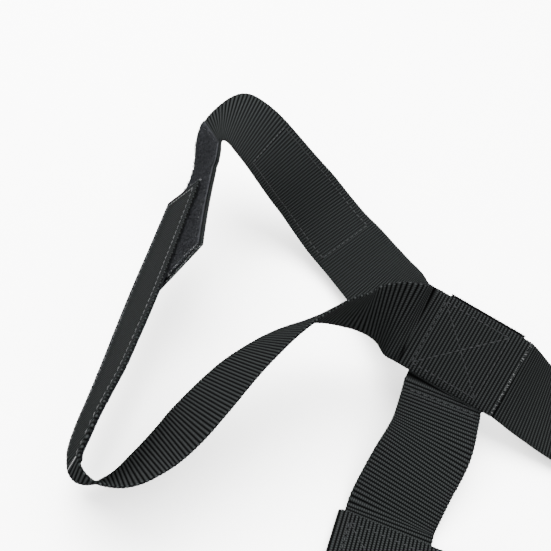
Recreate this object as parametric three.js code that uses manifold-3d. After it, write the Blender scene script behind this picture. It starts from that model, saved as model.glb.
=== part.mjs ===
// Webbing safety harness vest, laid back side up on a flat surface, in millimetres.
// +X runs along the yoke to the wearer's right, +Y up the back, +Z away from the surface.
// The origin is on the surface, under the middle of the vest's outline.
import * as THREE from "three";
import { mergeVertices } from "three/addons/utils/BufferGeometryUtils.js";
import Module from "manifold-3d";

// Webbing and tape
const webbingWidth = 50;
const webbingThickness = 1.5;
const tapeWidth = 46;
const tapeThickness = 1;
const layerGap = 0.3;          // between two sewn layers
const loopTapeGap = 0.4;       // under the loop tape
const closureGap = 0.4;        // between the hook tape and the loop tape

// Vest
const junctionSpacing = 300;   // between the two shoulder junctions
const junctionY = 14.43;
const junctionHeight = 48;     // middle of a junction above the surface
const beltDrop = 124;          // junction to the middle of the waist belt, along Y
const downStrapInset = 3;      // down strap's lower end, inside the belt's lower edge
const downStrapShift = 5;      // its middle from the junction's, along the yoke
const downStrapLean = 8;       // how far it leans outwards by the time it meets the belt
const underarmPast = 8.8;      // under-arm strap's cut end, past the middle by half a width and this
const downStrapProud = 1.6;    // its upper end, past the junction's upper edge
const tabLength = 96;          // peeling end of an under-arm strap
const closureShiftStart = 10;  // sideways offset of the shoulder tail at the tab's end
const closureShiftEnd = 31;    // and at its own end
const closureLength = 74;      // overlap of the two strap ends

// Buckle
const buckleWidth = 64;
const buckleThickness = 11;
const buckleWall = 2;
const socketLength = 40;
const plugBaseLength = 24;
const barDepth = 3.6;          // moulded bar that the webbing goes round
const slotLength = 7;          // slot beside the bar, along the belt
const prongWidth = 7;
const prongThickness = 5;
const prongGap = 0.4;

// Belt
const beltRise = 18;           // back run over the buckle
const beltFoldOver = 3.4;      // fold past the down strap's outer edge
const loopTail = 34;           // doubled webbing beside the buckle
const sliderOffset = 86;       // tri-glide from the middle of the belt
const keeperOffset = -98;      // keeper from the middle of the belt
const sliderWire = 3;

const layer = webbingThickness + layerGap;
const strapColumns = 3;        // facets across a strap that twists
const patchHalf = 28;          // flat stack of a junction, from its middle outwards
const patchInner = 37;         // and towards the yoke
const V = (x, y, z) => new THREE.Vector3(x, y, z);

// Directions in a junction: along the yoke, up the back, and out of the patch
const patchAlong = V(0.977, -0.051, -0.206).normalize();
const patchUp = V(0.169, 0.775, 0.609).projectOnPlane(patchAlong).normalize();
const patchOut = patchAlong.clone().cross(patchUp);

// Surface finishes
const finishes = {
  webbing: new THREE.MeshStandardMaterial({ color: 0x1c1d1c, roughness: 0.78, metalness: 0 }),
  hook: new THREE.MeshStandardMaterial({ color: 0x18191b, roughness: 0.9, metalness: 0 }),
  loop: new THREE.MeshStandardMaterial({ color: 0x212326, roughness: 0.95, metalness: 0 }),
  plastic: new THREE.MeshStandardMaterial({ color: 0x141414, roughness: 0.45, metalness: 0 }),
  elastic: new THREE.MeshStandardMaterial({ color: 0x191919, roughness: 0.85, metalness: 0 }),
};

const vest = new THREE.Group();

function addPiece(name, geometry, finish) {
  const mesh = new THREE.Mesh(geometry, finish);
  mesh.name = name;
  vest.add(mesh);
  return mesh;
}

function signedVolume(geometry) {
  const p = geometry.attributes.position;
  const index = geometry.index;
  const a = V(0, 0, 0), b = V(0, 0, 0), c = V(0, 0, 0);
  let sum = 0;
  for (let i = 0; i < index.count; i += 3) {
    a.fromBufferAttribute(p, index.getX(i));
    b.fromBufferAttribute(p, index.getX(i + 1));
    c.fromBufferAttribute(p, index.getX(i + 2));
    sum += a.dot(b.cross(c)) / 6;
  }
  return sum;
}

function flipped(geometry) {
  const index = geometry.index.array;
  for (let i = 0; i < index.length; i += 3) [index[i], index[i + 1]] = [index[i + 1], index[i]];
  return geometry;
}

function mirrored(geometry) {
  return flipped(geometry.clone().scale(-1, 1, 1));
}

// ---- Strap routes: each frame has a centre c, width direction w, heading t and face normal n

// Rulings stay square to the centre line, unless a strap is skewed where it folds
function finishFrames(frames, square = true) {
  frames.forEach((f, i) => {
    const before = frames[Math.max(i - 1, 0)].c;
    const after = frames[Math.min(i + 1, frames.length - 1)].c;
    f.t = after.clone().sub(before).normalize();
    f.w = (square ? f.w.clone().projectOnPlane(f.t) : f.w.clone()).normalize();
    f.n = f.t.clone().cross(f.w).normalize();
  });
  return frames;
}

// Smooth route through stations of [x, y, z, width direction x, y, z]
function route(stations, stepsPerStation, square = true) {
  const centres = new THREE.CatmullRomCurve3(stations.map((s) => V(s[0], s[1], s[2])), false, "centripetal");
  const widths = new THREE.CatmullRomCurve3(stations.map((s) => V(s[3], s[4], s[5])), false, "centripetal");
  const steps = (stations.length - 1) * stepsPerStation;
  const frames = [];
  for (let i = 0; i <= steps; i++) frames.push({ c: centres.getPoint(i / steps), w: widths.getPoint(i / steps) });
  return finishFrames(frames, square);
}

// Eases the bends between two frames of a route
function eased(frames, first, last, rounds) {
  for (let round = 0; round < rounds; round++) {
    const before = frames.map((f) => ({ c: f.c.clone(), w: f.w.clone() }));
    for (let i = first; i <= last; i++) {
      for (const key of ["c", "w"]) {
        frames[i][key].copy(before[i][key]).multiplyScalar(2).add(before[i - 1][key]).add(before[i + 1][key])
          .multiplyScalar(0.25);
      }
    }
  }
  return finishFrames(frames, false);
}

// Lifts frames whose lower edge would dip under the surface
function onSurface(frames) {
  for (const f of frames) {
    const lowest = Math.abs(f.w.z) * webbingWidth / 2 + Math.abs(f.n.z) * webbingThickness / 2;
    f.c.z = Math.max(f.c.z, lowest);
  }
  return frames;
}

function shifted(frames, alongNormal, alongWidth = 0) {
  return frames.map((f) => ({
    ...f,
    c: f.c.clone().addScaledVector(f.n, alongNormal).addScaledVector(f.w, alongWidth),
  }));
}

function lengths(frames) {
  const out = [0];
  for (let i = 1; i < frames.length; i++) out.push(out[i - 1] + frames[i].c.distanceTo(frames[i - 1].c));
  return out;
}

function frameAt(frames, distance) {
  const run = lengths(frames);
  let i = run.findIndex((d) => d >= distance);
  if (i < 1) i = distance <= 0 ? 1 : frames.length - 1;
  const k = (distance - run[i - 1]) / (run[i] - run[i - 1]);
  const mix = (key) => frames[i - 1][key].clone().lerp(frames[i][key], k);
  return { c: mix("c"), w: mix("w").normalize(), t: mix("t").normalize(), n: mix("n").normalize() };
}

// Part of a route between two distances along it
function stretch(frames, from, to) {
  const run = lengths(frames);
  const margin = 0.5;
  const inside = frames.filter((f, i) => run[i] > from + margin && run[i] < to - margin);
  return [frameAt(frames, from), ...inside, frameAt(frames, to)];
}

// Flat closed band of webbing or tape along a route. Both faces are split the same way, and
// a route that crosses x = 0 is split the mirrored way beyond it.
function band(frames, width, thickness, columns = 1) {
  const positions = [];
  const index = [];
  const ring = 2 * (columns + 1);
  for (const f of frames) {
    for (let k = 0; k < ring; k++) {
      const below = k <= columns;
      const across = below ? k / columns - 0.5 : (ring - 1 - k) / columns - 0.5;
      const p = f.c.clone().addScaledVector(f.w, across * width)
        .addScaledVector(f.n, (below ? -0.5 : 0.5) * thickness);
      positions.push(p.x, p.y, p.z);
    }
  }
  for (let i = 0; i < frames.length - 1; i++) {
    const pastMiddle = frames[i].c.x + frames[i + 1].c.x > 0;
    for (let k = 0; k < ring; k++) {
      const a = i * ring + k;
      const b = i * ring + (k + 1) % ring;
      const rising = (k < columns) !== pastMiddle;
      if (rising) index.push(a, b, b + ring, a, b + ring, a + ring);
      else index.push(a, b, a + ring, b, b + ring, a + ring);
    }
  }
  const last = (frames.length - 1) * ring;
  for (let k = 0; k < columns; k++) {
    const [a, b, c, d] = [k, k + 1, ring - 2 - k, ring - 1 - k];
    index.push(a, c, b, a, d, c);
    index.push(last + a, last + b, last + c, last + a, last + c, last + d);
  }
  const geometry = new THREE.BufferGeometry();
  geometry.setAttribute("position", new THREE.Float32BufferAttribute(positions, 3));
  geometry.setIndex(index);
  return signedVolume(geometry) > 0 ? geometry : flipped(geometry);
}

function bothSides(name, geometry, finish) {
  addPiece(`${name}_left`, geometry, finish);
  addPiece(`${name}_right`, mirrored(geometry), finish);
}

// ---- Left junction. Its three webbing layers, from the top: under-arm, down strap, shoulder and yoke

const junction = V(-junctionSpacing / 2, junctionY, junctionHeight);

// A station in a junction patch, so many layers down
function patchStation(along, up, layersDown, widthDirection) {
  const p = junction.clone().addScaledVector(patchAlong, along).addScaledVector(patchUp, up)
    .addScaledVector(patchOut, -layersDown * layer);
  return [p.x, p.y, p.z, ...widthDirection.toArray()];
}

// A station beside a junction, placed from its middle
function near([x, y, z, ...w]) {
  return [junction.x + x, junction.y + y, junction.z + z, ...w];
}

// Under-arm strap, from its cut end on the junction, round the loop to its hook end
const half = webbingWidth / 2;
const underarmRoute = route([
  ...[half + underarmPast, 13, 0, -13, -patchHalf, -patchHalf - 2].map((along) => patchStation(along, 0, 0, patchUp)),
  near([-37, -2.6, 10.6, 0.18, 0.52, 0.84]),
  near([-48, -3, 11, 0.20, 0.15, 0.97]),
  near([-61, -6, 10, 0.22, -0.10, 0.97]),
  near([-74, -13, 11, 0.28, -0.22, 0.93]),
  near([-86, -24, 11, 0.36, -0.31, 0.88]),
  near([-97, -38, 9, 0.42, -0.37, 0.83]),
  near([-106, -53, 6, 0.49, -0.39, 0.78]),
  near([-114, -69, 2, 0.55, -0.41, 0.73]),
  near([-121, -87, -3, 0.59, -0.43, 0.69]),
  near([-127, -103, -8, 0.59, -0.45, 0.67]),
  near([-134, -119, -14, 0.54, -0.45, 0.71]),
  near([-142, -133, -17, 0.47, -0.40, 0.79]),
  near([-150, -142, -18, 0.38, -0.32, 0.87]),
  near([-158, -147, -17, 0.31, -0.24, 0.92]),
  near([-165, -147, -15, 0.29, -0.17, 0.94]),
  near([-170, -143, -13, 0.32, -0.13, 0.94]),
  near([-173, -133, -11, 0.39, -0.06, 0.92]),
  near([-176, -116, -11, 0.43, 0.02, 0.90]),
  near([-178, -98, -11, 0.46, 0.07, 0.88]),
  near([-181, -76, -10, 0.48, 0.09, 0.87]),
  near([-185, -50, -9, 0.51, 0.08, 0.86]),
  near([-190, -20, -8, 0.52, 0.04, 0.85]),
  near([-194, 11, -3, 0.52, -0.04, 0.85]),
  near([-197, 40, 5, 0.52, -0.14, 0.84]),
], 3);
const underarmLength = lengths(underarmRoute).at(-1);
const hingeAt = underarmLength - tabLength;
const splitGap = 0.4;
const hookTapeOffset = webbingThickness / 2 + layerGap + tapeThickness / 2;
const loopTapeOffset = webbingThickness / 2 + loopTapeGap + tapeThickness / 2;
const hookTapeEnd = underarmLength - 2;
const hookTapeStart = underarmLength - 192;

function strap(frames) {
  return band(frames, webbingWidth, webbingThickness, strapColumns);
}

function tape(frames) {
  return band(frames, tapeWidth, tapeThickness, strapColumns);
}

bothSides("underarm_strap", strap(stretch(underarmRoute, 0, hingeAt)), finishes.webbing);
bothSides("hook_tab", strap(stretch(underarmRoute, hingeAt + splitGap, underarmLength)), finishes.webbing);
bothSides("hook_tape_base", tape(shifted(stretch(underarmRoute, hookTapeStart, hingeAt), hookTapeOffset)),
  finishes.hook);
bothSides("hook_tape_tip", tape(shifted(stretch(underarmRoute, hingeAt + splitGap, hookTapeEnd), hookTapeOffset)),
  finishes.hook);

// Shoulder tail, held against the hook end: a straight overlap that drifts sideways
const closureStack = hookTapeOffset + loopTapeOffset + closureGap + tapeThickness;
const overlapStart = underarmLength - closureLength;
const overlapSteps = 6;
const overlapPast = 7;         // straight run of the tail past the tab's end
const tailStations = [];
for (let i = 0; i <= overlapSteps + 1; i++) {
  const past = i > overlapSteps ? overlapPast : 0;
  const k = i > overlapSteps ? 1 + overlapPast / closureLength : i / overlapSteps;
  const f = frameAt(underarmRoute, overlapStart + k * closureLength - past);
  f.c.addScaledVector(f.t, past);
  const drift = closureShiftEnd + (closureShiftStart - closureShiftEnd) * k;
  const c = f.c.clone().addScaledVector(f.n, closureStack).addScaledVector(f.w, drift);
  const slope = (closureShiftStart - closureShiftEnd) / closureLength;
  const w = f.w.clone().addScaledVector(f.t, -slope).normalize().negate();
  tailStations.push([...c.toArray(), ...w.toArray()]);
}

// Shoulder strap and yoke: one webbing from tail to tail, through both junctions
const floorRise = webbingThickness / 2 - junctionHeight;
const foldStart = 6 * tailStations.length - 8;
const foldEnd = foldStart + 70;
const foldEasing = 20;
const shoulderRoute = eased(route([
  ...tailStations,
  near([-189, 58, 14, -0.46, 0.39, -0.80]),
  near([-193.5, 69.5, 17, -0.55, 0.53, -0.64]),
  near([-197, 80, 20.5, -0.60, 0.67, -0.44]),
  near([-198, 89, 22, -0.54, 0.78, -0.31]),
  near([-196.5, 97, 23.5, -0.42, 0.89, -0.18]),
  near([-193, 102, 26.5, -0.26, 0.97, 0.01]),
  near([-186, 103, 29, -0.11, 0.98, 0.15]),
  near([-176, 99.5, 27.5, 0.02, 0.98, 0.19]),
  near([-165, 97, 23, 0.15, 0.97, 0.20]),
  near([-155, 95, 16.5, 0.28, 0.95, 0.15]),
  near([-140.5, 93.5, 4, 0.38, 0.90, 0.20]),
  near([-126, 93.5, -8.5, 0.47, 0.84, 0.28]),
  near([-111, 89.5, -19, 0.53, 0.77, 0.35]),
  near([-96, 81.5, -24.5, 0.55, 0.72, 0.42]),
  near([-81, 72, -26, 0.53, 0.69, 0.49]),
  near([-67, 61, -26, 0.50, 0.71, 0.50]),
  near([-54, 48, -23, 0.45, 0.72, 0.53]),
  near([-43, 34, -17, 0.38, 0.73, 0.57]),
  near([-35, 17, -8, 0.26, 0.75, 0.61]),
  ...[-patchHalf, 2 - patchHalf, -13, 0, 13, patchInner - 2, patchInner].map((along) => patchStation(along, 0, 2, patchUp)),
  near([53, 1, -21, 0.10, 0.89, 0.45]),
  near([69, 1, -30, 0.05, 0.95, 0.30]),
  near([85, 1, -38, 0.02, 0.99, 0.15]),
  near([102, 1, floorRise + 2.4, 0, 1, 0.03]),
  near([112, 1, floorRise + 0.3, 0, 1, 0]),
  ...[30, 20, 10, 0].map((x) => [-x, junctionY + 1, webbingThickness / 2, 0, 1, 0]),
], 6, false), foldStart, foldEnd, foldEasing).filter((f, i) => i % 2 === 0 || (i > foldStart && i < foldEnd));
const rightHalf = shoulderRoute.slice(0, -1).reverse().map((f) => ({
  c: V(-f.c.x, f.c.y, f.c.z), w: V(-f.w.x, f.w.y, f.w.z),
}));
const wholeRoute = [...shoulderRoute.map((f) => ({ c: f.c, w: f.w })), ...rightHalf];
const shoulderYokeRoute = onSurface(finishFrames(wholeRoute, false));
addPiece("shoulder_yoke_webbing", strap(shoulderYokeRoute), finishes.webbing);

// Loop tape on the tail and, past the tight fold, on the back of the shoulder strap
const tailTapeEnd = 122;
const backTapeStart = 172;
const backTapeEnd = 268;
bothSides("loop_tape_tail", tape(shifted(stretch(shoulderRoute, 2, tailTapeEnd), loopTapeOffset)), finishes.loop);
bothSides("loop_tape_back", tape(shifted(stretch(shoulderRoute, backTapeStart, backTapeEnd), -loopTapeOffset)),
  finishes.loop);

// Down strap, between the junction's other two layers and under the belt's back run
const downRise = webbingThickness / 2 + layer - junctionHeight;
const downEnd = -(beltDrop + half - downStrapInset);
const downRoute = route([
  ...[half + downStrapProud, 12, 0, -12, -half - 0.5, -half - 2].map((up) => patchStation(downStrapShift, up, 1, patchAlong)),
  near([downStrapShift - 4.4, -31, -22.4, 0.98, -0.06, -0.17]),
  near([downStrapShift - 4.5, -48, -27.6, 0.98, -0.14, -0.12]),
  near([downStrapShift - 9, -68, -34.5, 0.98, -0.15, -0.07]),
  near([-downStrapLean + 1.5, -81, -40, 0.99, -0.08, -0.03]),
  near([-downStrapLean, -beltDrop + half + 8, downRise + 1.2, 1, 0, 0]),
  near([-downStrapLean, -beltDrop + half + 2, downRise + 0.1, 1, 0, 0]),
  near([-downStrapLean, -beltDrop + half - 4, downRise, 1, 0, 0]),
  near([-downStrapLean, -beltDrop, downRise, 1, 0, 0]),
  near([-downStrapLean, downEnd, downRise, 1, 0, 0]),
], 3);
bothSides("down_strap", strap(downRoute), finishes.webbing);

// ---- Waist belt: one webbing from the socket's bar, round the back, to the plug's bar

const beltY = junctionY - beltDrop;
const buckleMid = buckleThickness / 2;
const socketStart = -socketLength - 1;                       // the buckle's seam is near x = 0
const socketBarX = socketStart - slotLength - barDepth / 2 + 1;
const plugBarX = plugBaseLength - 1 - barDepth / 2;
const lowRun = webbingThickness / 2;
const backRun = lowRun + 2 * layer;
const foldRadius = (backRun - lowRun) / 2;
const foldX = junctionSpacing / 2 + downStrapLean + half + beltFoldOver - foldRadius - webbingThickness / 2;
const barWrap = barDepth / 2 * Math.SQRT2 + layerGap + webbingThickness / 2;

// End of the belt round a moulded bar; outward is +1 where the belt leaves towards +X
function barLoop(barX, outward) {
  const points = [];
  const tailX = barX + outward * (loopTail + 4);
  points.push([tailX, lowRun + layer], [tailX - outward * 12, lowRun + layer],
    [barX + outward * 14, lowRun + layer + 0.8], [barX + outward * 6, buckleMid + barWrap - 0.3]);
  for (const degrees of [90, 45, 0, -45, -90]) {
    const a = degrees * Math.PI / 180;
    points.push([barX - outward * barWrap * Math.cos(a), buckleMid + barWrap * Math.sin(a)]);
  }
  points.push([barX + outward * 6, buckleMid - barWrap], [barX + outward * 15, lowRun + 0.3],
    [barX + outward * 24, lowRun], [barX + outward * 34, lowRun]);
  return points;
}

function foldArc(side) {
  return [90, 45, 0, -45, -90].map((degrees) => {
    const a = degrees * Math.PI / 180;
    return [side * (foldX + foldRadius * Math.cos(a)), lowRun + foldRadius + foldRadius * Math.sin(a)];
  });
}

const innerEdge = junctionSpacing / 2 - half;
const beltProfile = [
  ...barLoop(socketBarX, -1),
  [-innerEdge, lowRun], [-junctionSpacing / 2, lowRun], [-foldX + 3, lowRun],
  ...foldArc(-1).reverse(),
  [-foldX + 3, backRun], [-junctionSpacing / 2, backRun], [-innerEdge - 4, backRun],
  [-innerEdge + 18, backRun + 2.6], [-76, beltRise - 2.2], [-58, beltRise], [-30, beltRise + 0.6], [0, beltRise + 0.8],
  [30, beltRise + 0.6], [58, beltRise], [76, beltRise - 2.2], [innerEdge - 18, backRun + 2.6],
  [innerEdge + 4, backRun], [junctionSpacing / 2, backRun], [foldX - 3, backRun],
  ...foldArc(1),
  [foldX - 3, lowRun], [junctionSpacing / 2, lowRun], [innerEdge, lowRun],
  ...barLoop(plugBarX, 1).reverse(),
];
const beltRoute = onSurface(route(beltProfile.map(([x, z]) => [x, beltY, z, 0, 1, 0]), 2));
addPiece("waist_belt", band(beltRoute, webbingWidth, webbingThickness), finishes.webbing);

// ---- Solids cut and joined from simple ones

const wasm = await Module();
wasm.setup();

function toSolid(geometry) {
  const bare = geometry.clone();
  bare.deleteAttribute("normal");
  bare.deleteAttribute("uv");
  const merged = mergeVertices(bare, 1e-4);
  return new wasm.Manifold(new wasm.Mesh({
    numProp: 3,
    vertProperties: new Float32Array(merged.attributes.position.array),
    triVerts: new Uint32Array(merged.index.array),
  }));
}

function toGeometry(solid) {
  const mesh = solid.getMesh();
  const geometry = new THREE.BufferGeometry();
  geometry.setAttribute("position", new THREE.BufferAttribute(new Float32Array(mesh.vertProperties), 3));
  geometry.setIndex(new THREE.BufferAttribute(new Uint32Array(mesh.triVerts), 1));
  return geometry;
}

function block(x0, x1, y0, y1, z0, z1) {
  const geometry = new THREE.BoxGeometry(x1 - x0, y1 - y0, z1 - z0);
  geometry.translate((x0 + x1) / 2, (y0 + y1) / 2, (z0 + z1) / 2);
  return toSolid(geometry);
}

// Flat plate with round corners in the XY plane
function plate(x0, x1, y0, y1, z0, z1, corner) {
  const shape = new THREE.Shape();
  shape.moveTo(x0 + corner, y0);
  shape.lineTo(x1 - corner, y0);
  shape.absarc(x1 - corner, y0 + corner, corner, -Math.PI / 2, 0);
  shape.lineTo(x1, y1 - corner);
  shape.absarc(x1 - corner, y1 - corner, corner, 0, Math.PI / 2);
  shape.lineTo(x0 + corner, y1);
  shape.absarc(x0 + corner, y1 - corner, corner, Math.PI / 2, Math.PI);
  shape.lineTo(x0, y0 + corner);
  shape.absarc(x0 + corner, y0 + corner, corner, Math.PI, Math.PI * 1.5);
  const geometry = new THREE.ExtrudeGeometry(shape, { depth: z1 - z0, bevelEnabled: false, curveSegments: 4 });
  geometry.translate(0, 0, z0);
  return toSolid(geometry);
}

// Buckle socket: a flat box with a mouth towards +X, side windows, and a bar for the webbing
const socketEnd = 0;
const barEnd = socketBarX - barDepth / 2;
const halfBuckle = buckleWidth / 2;
const windowStart = socketStart + 9;
const windowEnd = socketEnd - 13;
const inside = buckleWall;
const slotHalf = half + 1.2;
const socket = plate(barEnd, socketEnd, beltY - halfBuckle, beltY + halfBuckle, 0, buckleThickness, 5)
  .subtract(block(socketStart + inside + 2, socketEnd + 1, beltY - halfBuckle + inside, beltY + halfBuckle - inside,
    inside, buckleThickness - inside))
  .subtract(block(windowStart, windowEnd, beltY - halfBuckle - 1, beltY - halfBuckle + inside + 1,
    inside + 1, buckleThickness - inside - 1))
  .subtract(block(windowStart, windowEnd, beltY + halfBuckle - inside - 1, beltY + halfBuckle + 1,
    inside + 1, buckleThickness - inside - 1))
  .subtract(block(socketBarX + barDepth / 2, socketStart, beltY - slotHalf, beltY + slotHalf, -1, buckleThickness + 1))
  .subtract(block(barEnd - 1, socketBarX + barDepth / 2 + 0.01, beltY - slotHalf, beltY + slotHalf,
    buckleMid + barDepth / 2, buckleThickness + 1))
  .subtract(block(barEnd - 1, socketBarX + barDepth / 2 + 0.01, beltY - slotHalf, beltY + slotHalf,
    -1, buckleMid - barDepth / 2));
addPiece("buckle_socket", toGeometry(socket), finishes.plastic);

// Buckle plug: base with its own bar, and a guide tongue that runs into the socket
const plugStart = socketEnd + prongGap;
const tongueHalf = 8;
const tongueZ = 2.2;
const prongRoot = halfBuckle - inside - 3 - prongWidth;
const plug = plate(plugStart, plugBaseLength, beltY - halfBuckle + 1, beltY + halfBuckle - 1,
  0, buckleThickness, 4)
  .subtract(block(plugBarX - barDepth / 2 - slotLength, plugBarX - barDepth / 2, beltY - slotHalf, beltY + slotHalf,
    -1, buckleThickness + 1))
  .subtract(block(plugBarX - barDepth / 2 - 0.01, plugBaseLength + 1, beltY - slotHalf, beltY + slotHalf,
    buckleMid + barDepth / 2, buckleThickness + 1))
  .subtract(block(plugBarX - barDepth / 2 - 0.01, plugBaseLength + 1, beltY - slotHalf, beltY + slotHalf,
    -1, buckleMid - barDepth / 2))
  .add(block(socketStart + inside + 6, plugStart + 1, beltY - tongueHalf, beltY + tongueHalf,
    buckleMid - tongueZ, buckleMid + tongueZ));
addPiece("buckle_plug", toGeometry(plug), finishes.plastic);

// Sprung prongs: each bends about its root, and its barb shows in the socket's side window
function prong(side) {
  const x0 = windowStart + 1.2;
  const barbEnd = windowEnd - 1.2;
  const outer = halfBuckle - inside - 0.6;
  const outline = [
    [plugStart - prongGap, prongRoot], [plugStart - prongGap, prongRoot + prongWidth - 1.4],
    [barbEnd, outer - 1.6], [barbEnd, halfBuckle - 0.9], [barbEnd - 7, halfBuckle - 0.9],
    [x0, outer - 3.4], [x0, prongRoot + 1.6],
  ];
  const shape = new THREE.Shape(outline.map(([x, y]) => new THREE.Vector2(x, y)));
  const geometry = new THREE.ExtrudeGeometry(shape, { depth: prongThickness - 0.6, bevelEnabled: false });
  geometry.translate(0, 0, buckleMid - prongThickness / 2 + 0.3);
  const solid = toGeometry(toSolid(geometry));
  if (side < 0) flipped(solid.scale(1, -1, 1));
  return solid.translate(0, beltY, 0);
}
addPiece("buckle_prong_upper", prong(1), finishes.plastic);
addPiece("buckle_prong_lower", prong(-1), finishes.plastic);

// Tri-glide on the plug's side of the belt: two windows with the webbing above its middle bar
const sliderHalf = half + 6;
const sliderLength = 30;
const sliderTop = lowRun + webbingThickness / 2 + 0.5;
const slider = plate(sliderOffset - sliderLength / 2, sliderOffset + sliderLength / 2,
  beltY - sliderHalf, beltY + sliderHalf, 0, sliderTop + sliderWire, 5)
  .subtract(block(sliderOffset - sliderLength / 2 - 1, sliderOffset + sliderLength / 2 + 1,
    beltY - slotHalf, beltY + slotHalf, -1, sliderTop))
  .subtract(block(sliderOffset - sliderLength / 2 + sliderWire, sliderOffset - sliderWire / 2,
    beltY - slotHalf, beltY + slotHalf, -1, sliderTop + sliderWire + 1))
  .subtract(block(sliderOffset + sliderWire / 2, sliderOffset + sliderLength / 2 - sliderWire,
    beltY - slotHalf, beltY + slotHalf, -1, sliderTop + sliderWire + 1));
addPiece("tri_glide_slider", toGeometry(slider), finishes.plastic);

// Elastic keeper round the belt's socket side
const keeperWidth = 16;
const keeperThickness = 1.1;
const keeperTop = lowRun + webbingThickness / 2 + layerGap;
const keeper = plate(keeperOffset - keeperWidth / 2, keeperOffset + keeperWidth / 2,
  beltY - half - 2.4, beltY + half + 2.4, 0, keeperTop + keeperThickness, 1)
  .subtract(block(keeperOffset - keeperWidth, keeperOffset + keeperWidth,
    beltY - half - 0.6, beltY + half + 0.6, -1, keeperTop));
addPiece("belt_keeper", toGeometry(keeper), finishes.elastic);

export default vest;
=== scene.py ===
import math

import bpy
import numpy as np
from mathutils import Matrix


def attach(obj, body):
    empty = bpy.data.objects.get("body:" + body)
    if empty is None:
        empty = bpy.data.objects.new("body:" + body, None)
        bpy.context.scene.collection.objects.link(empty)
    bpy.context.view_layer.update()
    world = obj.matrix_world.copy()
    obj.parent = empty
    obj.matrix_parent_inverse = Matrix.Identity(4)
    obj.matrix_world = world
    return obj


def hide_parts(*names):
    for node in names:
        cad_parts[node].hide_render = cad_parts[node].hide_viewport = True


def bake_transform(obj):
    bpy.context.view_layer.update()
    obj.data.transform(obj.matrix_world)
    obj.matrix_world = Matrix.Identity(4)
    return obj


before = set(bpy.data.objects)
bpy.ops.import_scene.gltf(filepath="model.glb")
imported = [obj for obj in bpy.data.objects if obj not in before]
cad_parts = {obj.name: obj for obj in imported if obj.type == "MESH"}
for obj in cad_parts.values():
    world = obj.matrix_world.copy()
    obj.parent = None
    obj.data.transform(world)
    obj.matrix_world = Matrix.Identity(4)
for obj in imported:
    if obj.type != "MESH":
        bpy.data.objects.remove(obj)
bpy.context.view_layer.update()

# Webbing safety harness vest, laid on its front. Sizes are in millimetres until a mesh is placed.
webbing = {
    "width": 50, "thickness": 1.5,
    "ribPitch": 2.08,      # one weft rib and its groove, along the strap
    "ribHeight": 0.17,     # how far a rib stands up
    "scallop": 0.3,        # the selvedge goes in and out with the ribs
    "rowsPerRib": 4, "columns": 14,
    "unevenness": 0.22,    # how much one rib differs from the next
}
hookTape = {"width": 46, "thickness": 1.0, "offset": 1.55, "length": 190}
loopTape = {"width": 46, "thickness": 1.0, "offset": 1.65, "start": 2, "end": 122,
            "backStart": 172, "backEnd": 268,   # second stretch, past the shoulder fold
            "pilePerSquare": 1.1, "pileHeight": 1.1, "pileWidth": 1.3, "pileThread": 0.16}
thread = {"length": 3.3, "pitch": 4.1, "radius": 0.33}
vest = {"junctionSpacing": 300, "junctionY": 14.43, "junctionHeight": 48, "beltDrop": 124,
        "layer": 1.8, "patchHalf": 28, "patchInner": 37, "tabLength": 96, "closureLength": 74,
        "closureStack": 4.6, "closureShiftStart": 10, "closureShiftEnd": 31, "underarmPast": 8.8,
        "downStrapInset": 3, "downStrapProud": 1.6, "downStrapShift": 5, "downStrapLean": 8}
half = webbing["width"] / 2
layer = vest["layer"]


def unit(v):
    return v / np.linalg.norm(v, axis=-1, keepdims=True)


patchAlong = unit(np.array([0.977, -0.051, -0.206]))
patchUp = np.array([0.169, 0.775, 0.609])
patchUp = unit(patchUp - patchAlong * patchUp.dot(patchAlong))
patchOut = np.cross(patchAlong, patchUp)
junction = np.array([-vest["junctionSpacing"] / 2, vest["junctionY"], vest["junctionHeight"]])


# A smooth curve through points, with the same number of steps between each two
def curveThrough(points, steps):
    p = np.array(points, dtype=float)
    p = np.vstack([2 * p[0] - p[1], p, 2 * p[-1] - p[-2]])
    out = []
    for i in range(1, len(p) - 2):
        a, b, c, d = p[i - 1], p[i], p[i + 1], p[i + 2]
        k0, k1, k2 = (math.sqrt(np.linalg.norm(v)) for v in (b - a, c - b, d - c))
        k1 = k1 if k1 > 1e-4 else 1.0
        k0 = k0 if k0 > 1e-4 else k1
        k2 = k2 if k2 > 1e-4 else k1
        m1 = ((b - a) / k0 - (c - a) / (k0 + k1) + (c - b) / k1) * k1
        m2 = ((c - b) / k1 - (d - b) / (k1 + k2) + (d - c) / k2) * k1
        for s in range(steps):
            t = s / steps
            out.append(b + m1 * t + (3 * (c - b) - 2 * m1 - m2) * t * t + (2 * (b - c) + m1 + m2) * t ** 3)
    out.append(p[-2])
    return np.array(out)


# A route is centres c, headings t, width directions w, face normals n, and the distance run at each.
# The width is square to the heading, unless the strap is skewed by a fold.
def finishRoute(c, w, square=True):
    before = np.vstack([c[:1], c[:-1]])
    after = np.vstack([c[1:], c[-1:]])
    t = unit(after - before)
    w = unit(w - t * (w * t).sum(1, keepdims=True)) if square else unit(w)
    run = np.concatenate([[0], np.cumsum(np.linalg.norm(np.diff(c, axis=0), axis=1))])
    return {"c": c, "w": w, "t": t, "n": unit(np.cross(t, w)), "run": run, "square": square}


def routeThrough(stations, steps, square=True):
    s = np.array(stations, dtype=float)
    return finishRoute(curveThrough(s[:, :3], steps), curveThrough(s[:, 3:], steps), square)


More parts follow.
